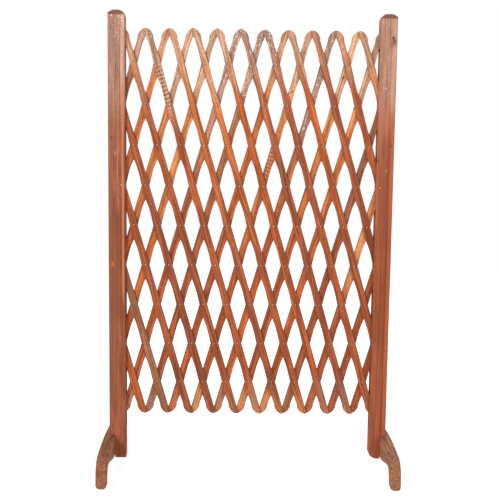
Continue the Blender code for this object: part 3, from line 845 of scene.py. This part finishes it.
def add_post(word, side, material):
    place = Matrix.Translation((side * COLUMNS / 2 * PITCH * math.sin(REST), 0, PIVOT_HEIGHT))
    mesh = board(post_outline(side, HEELS[word]), POST_DEPTH, STANDING)
    post = new_object(f"{word}_post_board", mesh, place)
    bevel(post, POST_EASE, 3)
    top = POST_LENGTH - PIVOT_ON_POST
    groove = span(
        (side * (POST_INNER - OVERRUN), side * (POST_INNER + GROOVE_DEPTH)), GROOVE_WIDTH / 2,
        (BUTT - PIVOT_ON_POST, top + OVERRUN),
    )
    notch = span(
        (side * (FOOT_INNER - CLEARANCE), side * (POST_OUTER + OVERRUN)), POST_DEPTH,
        (-PIVOT_ON_POST - OVERRUN, SEAT + CLEARANCE - PIVOT_ON_POST),
    )
    cutters = [
        boolean(post, "INTERSECT", board(cap_outline(), 0.1, SIDEWAYS @ STANDING)),
        boolean(post, "DIFFERENCE", groove),
        boolean(post, "DIFFERENCE", notch),
    ]
    bevel(post, CUT_EASE, 2, 40)
    settled(post, cutters)
    cut_across(post)
    weathered(post, 1.0, 0.85, 1.10)
    dressed(post, material, "post_wood", f"{word}_post", f"{word}_post")
    return place


def cut_across(obj):
    """Cuts a post's faces across every few centimetres, so that the bleaching can vary along it."""
    shape = bmesh.new()
    shape.from_mesh(obj.data)
    low = min(v.co.z for v in shape.verts)
    high = max(v.co.z for v in shape.verts)
    count = round((high - low) / POST_STRIP)
    for n in range(1, count):
        bmesh.ops.bisect_plane(
            shape, geom=[*shape.verts, *shape.edges, *shape.faces], dist=TINY,
            plane_co=(0, 0, low + (high - low) * n / count), plane_no=(0, 0, 1),
        )
    shape.to_mesh(obj.data)
    shape.free()


def foot_half():
    """Half of a foot's outline from the side: along its top, round its nose and back under its arch."""
    top = POST_LIFT + SEAT
    nose_start, nose_foot = REACH - NOSE_LENGTH, top - TOP_FALL - NOSE_HEIGHT
    steps, arch_steps = 14, 7
    points = [(nose_start * n / steps, top - TOP_FALL * (n / steps) ** 2) for n in range(steps)]
    nose = arc((0, 0), 1, 85, 0, 12)
    points += [(nose_start + NOSE_LENGTH * y, nose_foot + NOSE_HEIGHT * z) for y, z in nose]
    toe_inside = REACH - TOE_LENGTH
    points.append((REACH, 0))
    crest = toe_inside * ARCH_CREST + POST_DEPTH / 2
    crest_height = POST_LIFT + ARCH_RISE
    for n in range(arch_steps + 1):
        angle = math.radians(90) * n / arch_steps
        points.append((crest + (toe_inside - crest) * math.cos(angle), crest_height * math.sin(angle)))
    for n in range(1, steps + 1):
        fall = ARCH_RISE * (1 - math.cos(math.pi * n / steps)) / 2
        points.append((crest + (POST_DEPTH / 2 - crest) * n / steps, crest_height - fall))
    return points


def ease_foot_edges(mesh):
    """Marks how far each edge of a foot is worn: most along the sole, less above and across the toes."""
    shape = bmesh.new()
    shape.from_mesh(mesh)
    weight = shape.edges.layers.float.new("bevel_weight_edge")
    for edge in shape.edges:
        a, b = (vert.co for vert in edge.verts)
        if abs(a.x - b.x) > TINY:
            at_toe = a.z < TINY and abs(a.y) > REACH - TINY
            ease = TOE_EASE if at_toe else 0
        else:
            under = min(face.normal.z for face in edge.link_faces) < -0.05
            ease = SOLE_EASE if under else FOOT_EASE
        edge[weight] = ease / SOLE_EASE
    shape.to_mesh(mesh)
    shape.free()


def screw_places(side):
    turn = Matrix.Rotation(side * math.radians(90), 4, "Y")
    for share in SCREW_SHARES:
        yield Matrix.Translation((side * FOOT_OUTER, 0, SEAT * share - PIVOT_ON_POST)) @ turn


def screw_profile(room):
    """Profile of a screw, or with room round it of the hole for one."""
    face = OVERRUN if room else 0
    return [
        (0, face),
        (SCREW_HEAD + room, face),
        (SCREW_HEAD + room, -SCREW_RIM),
        (SCREW_RADIUS + room, -SCREW_HEAD_DEPTH),
        (SCREW_RADIUS + room, SCREW_POINT - SCREW_LENGTH),
        (0, -SCREW_LENGTH - room),
    ]


def toe_front(side, inner_round, outer_round):
    """A foot's outline from the front, about the middle of its thickness, with its toes' corners worn."""
    half = FOOT_THICKNESS / 2
    inner = arc((inner_round - half, inner_round), inner_round, 180, 270, 10)
    outer = arc((half - outer_round, outer_round), outer_round, 270, 360, 10)
    return [(side * x, z) for x, z in [*inner, *outer, (half, 0.2), (-half, 0.2)]]


def add_foot(word, side, material, post_place):
    half = foot_half()
    outline = half + [(-y, z) for y, z in reversed(half[1:])]
    mesh = board(outline, FOOT_THICKNESS, SIDEWAYS @ STANDING)
    ease_foot_edges(mesh)
    middle = (FOOT_INNER + FOOT_OUTER) / 2
    place = Matrix.Translation((post_place.translation.x + side * middle, 0, 0))
    foot = new_object(f"{word}_foot_board", mesh, place)
    bevel(foot, SOLE_EASE, 5, limit="WEIGHT")
    holes = [place.inverted() @ post_place @ start for start in screw_places(side)]
    cutters = [
        boolean(foot, "DIFFERENCE", lathe(screw_profile(CLEARANCE), 24, holes, "holes")),
        boolean(foot, "INTERSECT", board(toe_front(side, *TOE_ROUNDS[word]), 1.0, STANDING)),
    ]
    settled(foot, cutters)
    weathered(foot, 0.0)
    dressed(foot, material, "foot_wood", f"{word}_post", f"{word}_foot")


def add_screws(word, side, post_place):
    """Countersunk screws with a cross recess."""
    for spot, start in zip(("lower", "upper"), screw_places(side)):
        node = f"{word}_foot_screw_{spot}"
        place = post_place @ start @ Matrix.Rotation(draw.uniform(0, 1.5), 4, "Z")
        screw = new_object(f"{node}_steel", lathe(screw_profile(0), 24, [Matrix.Identity(4)], node), place)
        cutters = [
            boolean(screw, "DIFFERENCE", box_mesh((-x, -y, -CROSS_DEPTH), (x, y, CROSS_OVERRUN)))
            for x, y in ((CROSS_LENGTH, CROSS_WIDTH), (CROSS_WIDTH, CROSS_LENGTH))
        ]
        settled(screw, cutters)
        dressed(screw, SCREW_STEEL, "steel", f"{word}_post", node)


def add_pivot_pin(word, place):
    face = POST_DEPTH / 2 + HEAD_SINK
    pin = new_object(
        f"{word}_pivot_pin_steel", lathe(rivet_profile(face, face), 24, [STANDING], "pin"), place
    )
    dressed(pin, RIVET_STEEL, "steel", f"{word}_post", f"{word}_pivot_pin")


# Marks on the posts' wood, about the pivot pin: growth lines and a line of painted shade, then knots,
# stains, white dots and a painted shadow
LEFT_LINES_AND_SHADE = [
    (-0.0285, 0.0100, srgb(136, 82, 60), 0.55, -0.60, 0.25),
    (-0.0260, 0.0140, srgb(164, 124, 106), 0.60, 0.20, 0.45),
    (-0.0150, 0.0030, srgb(142, 84, 60), 0.45, -0.60, 0.30),
    (-0.0130, 0.0240, srgb(116, 58, 26), 0.38, -0.36, -0.06),
    (0.0040, 0.0044, srgb(214, 132, 90), 0.62, -0.30, 0.26),
    (0.0028, 0.0056, srgb(226, 180, 158), 0.58, 0.27, 0.45),
    (-0.0190, 0.0120, srgb(140, 84, 50), 0.25, -0.60, -0.16),
    # Painted shade: this thin dark line along the left post's inner edge stands for the shaded side of its
    # groove
    (0.0078, 0.0014, srgb(112, 54, 34), 0.6, -0.36, 0.16),
    (0.0000, 0.0014, srgb(120, 60, 40), 0.5, -0.55, 0.20),
    (-0.0034, 0.0014, srgb(120, 64, 44), 0.4, -0.30, 0.36),
    (-0.0120, 0.0014, srgb(122, 72, 52), 0.5, -0.50, 0.36),
]
LEFT_KNOTS = [
    (-0.0261, 0.1209, 0.0017, UMBER, 0.8),
    (-0.0238, -0.2070, 0.0032, srgb(214, 108, 72), 0.7),
    (0.0025, -0.1348, 0.0036, srgb(190, 80, 54), 0.5),
    (-0.0260, 0.4002, 0.0024, srgb(136, 96, 80), 0.6),
    (-0.0160, 0.0820, 0.0030, srgb(192, 138, 112), 0.5),
    # Four white dots just under the top's front arris
    (-0.0234, 0.4300, 0.0013, FLECK, 0.9),
    (-0.0060, 0.4270, 0.0012, FLECK, 0.9),
    (0.0022, 0.4240, 0.0013, FLECK, 0.9),
    (0.0030, 0.4160, 0.0012, FLECK, 0.9),
]
RIGHT_LINES = [
    (0.0120, 0.0260, srgb(114, 56, 24), 0.34, -0.42, 0.12),
    (0.0275, 0.0060, srgb(196, 106, 66), 0.5, -0.75, 0.22),
    (0.0205, 0.0013, UMBER, 0.6, -0.75, 0.25),
    (0.0150, 0.0012, UMBER, 0.7, 0.37, 0.44),
    (0.0265, 0.0085, srgb(214, 168, 140), 0.65, 0.20, 0.43),
    (-0.0070, 0.0060, srgb(166, 112, 88), 0.45, 0.28, 0.41),
    (-0.0020, 0.0045, srgb(152, 118, 102), 0.4, 0.06, 0.16),
    (-0.0085, 0.0012, srgb(210, 130, 90), 0.5, -0.10, 0.20),
    (0.0080, 0.0013, srgb(118, 60, 40), 0.4, -0.60, 0.30),
]
RIGHT_KNOTS_AND_SHADOW = [
    # Painted shadow: these two brown patches just under the dark knot that follows
    (0.0262, 0.3745, 0.0052, srgb(122, 82, 62), 0.75),
    (0.0190, 0.3650, 0.0040, srgb(176, 102, 78), 0.7),
    (0.0233, 0.3839, 0.0026, UMBER, 0.9),
    (0.0252, 0.1093, 0.0015, UMBER, 0.85),
    (-0.0075, 0.0701, 0.0024, srgb(120, 62, 40), 0.6),
    (0.0149, 0.0445, 0.0026, srgb(206, 140, 110), 0.5),
    (0.0153, -0.4935, 0.0045, srgb(150, 96, 74), 0.6),
    (0.0256, -0.4348, 0.0013, UMBER, 0.7),
    (0.0232, -0.1651, 0.0011, UMBER, 0.7),
    (0.0105, -0.1838, 0.0011, UMBER, 0.6),
    (0.0084, 0.2562, 0.0010, FLECK, 0.9),
]
POST_LOOKS = {
    "left": {
        "tone": srgb(158, 90, 61), "high_tone": srgb(172, 104, 76), "ring": 0.0062, "pith": (0.004, 0.03),
        "knots": LEFT_KNOTS, "lines": LEFT_LINES_AND_SHADE, "fleck_share": 0.35, "marked": 0.8,
    },
    "right": {
        "tone": srgb(170, 92, 60), "high_tone": srgb(184, 106, 73), "ring": 0.0070, "pith": (-0.085, 0.03),
        "knots": RIGHT_KNOTS_AND_SHADOW, "lines": RIGHT_LINES, "fleck_share": 0.25, "marked": 0.55,
    },
}
FOOT_TONES = {"left": srgb(156, 101, 72), "right": srgb(168, 114, 84)}


def add_sides():
    woods = {
        word: wood(f"{word}_post_wood", contrast=0.22, end_grain=(0.26, 0.42), veil=POST_VEIL, **look)
        for word, look in POST_LOOKS.items()
    }
    feet = {
        word: wood(f"{word}_foot_wood", tone, pith=(0.03, 0.05), contrast=0.2, grain="Y")
        for word, tone in FOOT_TONES.items()
    }
    for word, side in SIDES.items():
        place = add_post(word, side, woods[word])
        add_foot(word, side, feet[word], place)
        add_screws(word, side, place)
        add_pivot_pin(word, place)


# ---- Stage, light and camera

def add_stage():
    """A pale floor that keeps the object's shadow and meets the white background."""
    floor = new_object("floor", box_mesh(*FLOOR_CORNERS), Matrix.Identity(4))
    s = Shader("floor_paper")
    seen = s.seen_by("Is Camera Ray", "Is Glossy Ray")
    s.set(
        Base_Color=srgb(238, 238, 238),
        Roughness=0.9,
        Specular_IOR_Level=0.1,
        Emission_Color=(1, 1, 1, 1),
        Emission_Strength=s.math("MULTIPLY", seen, FLOOR_GLOW),
    )
    floor.data.materials.append(s.material)


def add_world():
    """A white background that lights the object less than it shows."""
    world = bpy.data.worlds.new("studio")
    world.use_nodes = True
    bpy.context.scene.world = world
    nodes = Nodes(world.node_tree)
    seen = nodes.seen_by("Is Camera Ray", "Is Glossy Ray", "Is Transmission Ray")
    strength = nodes.node("ShaderNodeMapRange", None, Value=seen, _3=SKY_LIGHT, _4=SKY_SEEN)
    background = nodes.tree.nodes["Background"]
    nodes.feed(background, "Color", (1, 1, 1, 1))
    nodes.feed(background, "Strength", strength.outputs["Result"])


def add_light(name, place, size, power):
    data = bpy.data.lights.new(name, "AREA")
    data.shape, data.size, data.energy = "DISK", size, power
    aim = Vector(LIGHT_TARGET) - Vector(place)
    turn = aim.to_track_quat("-Z", "Y").to_matrix().to_4x4()
    new_object(name, data, Matrix.Translation(place) @ turn)


def add_camera():
    """The photograph's view: from slightly left of the middle, looking a little down."""
    turn = Matrix.Rotation(math.radians(CAMERA_TURN), 3, "Z")
    tip = Matrix.Rotation(math.radians(90 + CAMERA_TIP), 3, "X")
    lean = Matrix.Rotation(math.radians(CAMERA_LEAN), 3, "Z")
    seen = Matrix.Diagonal((1, -1, -1)) @ lean @ tip @ turn
    data = bpy.data.cameras.new("camera")
    data.sensor_width, data.lens = CAMERA_SENSOR, CAMERA_LENS
    place = Matrix.Translation(CAMERA_PLACE) @ seen.transposed().to_4x4()
    bpy.context.scene.camera = new_object("camera", data, place)


add_camera()
add_lattice()
add_sides()
add_stage()
add_world()
for light in LIGHTS:
    add_light(*light)
bpy.context.scene.view_settings.view_transform = "Standard"
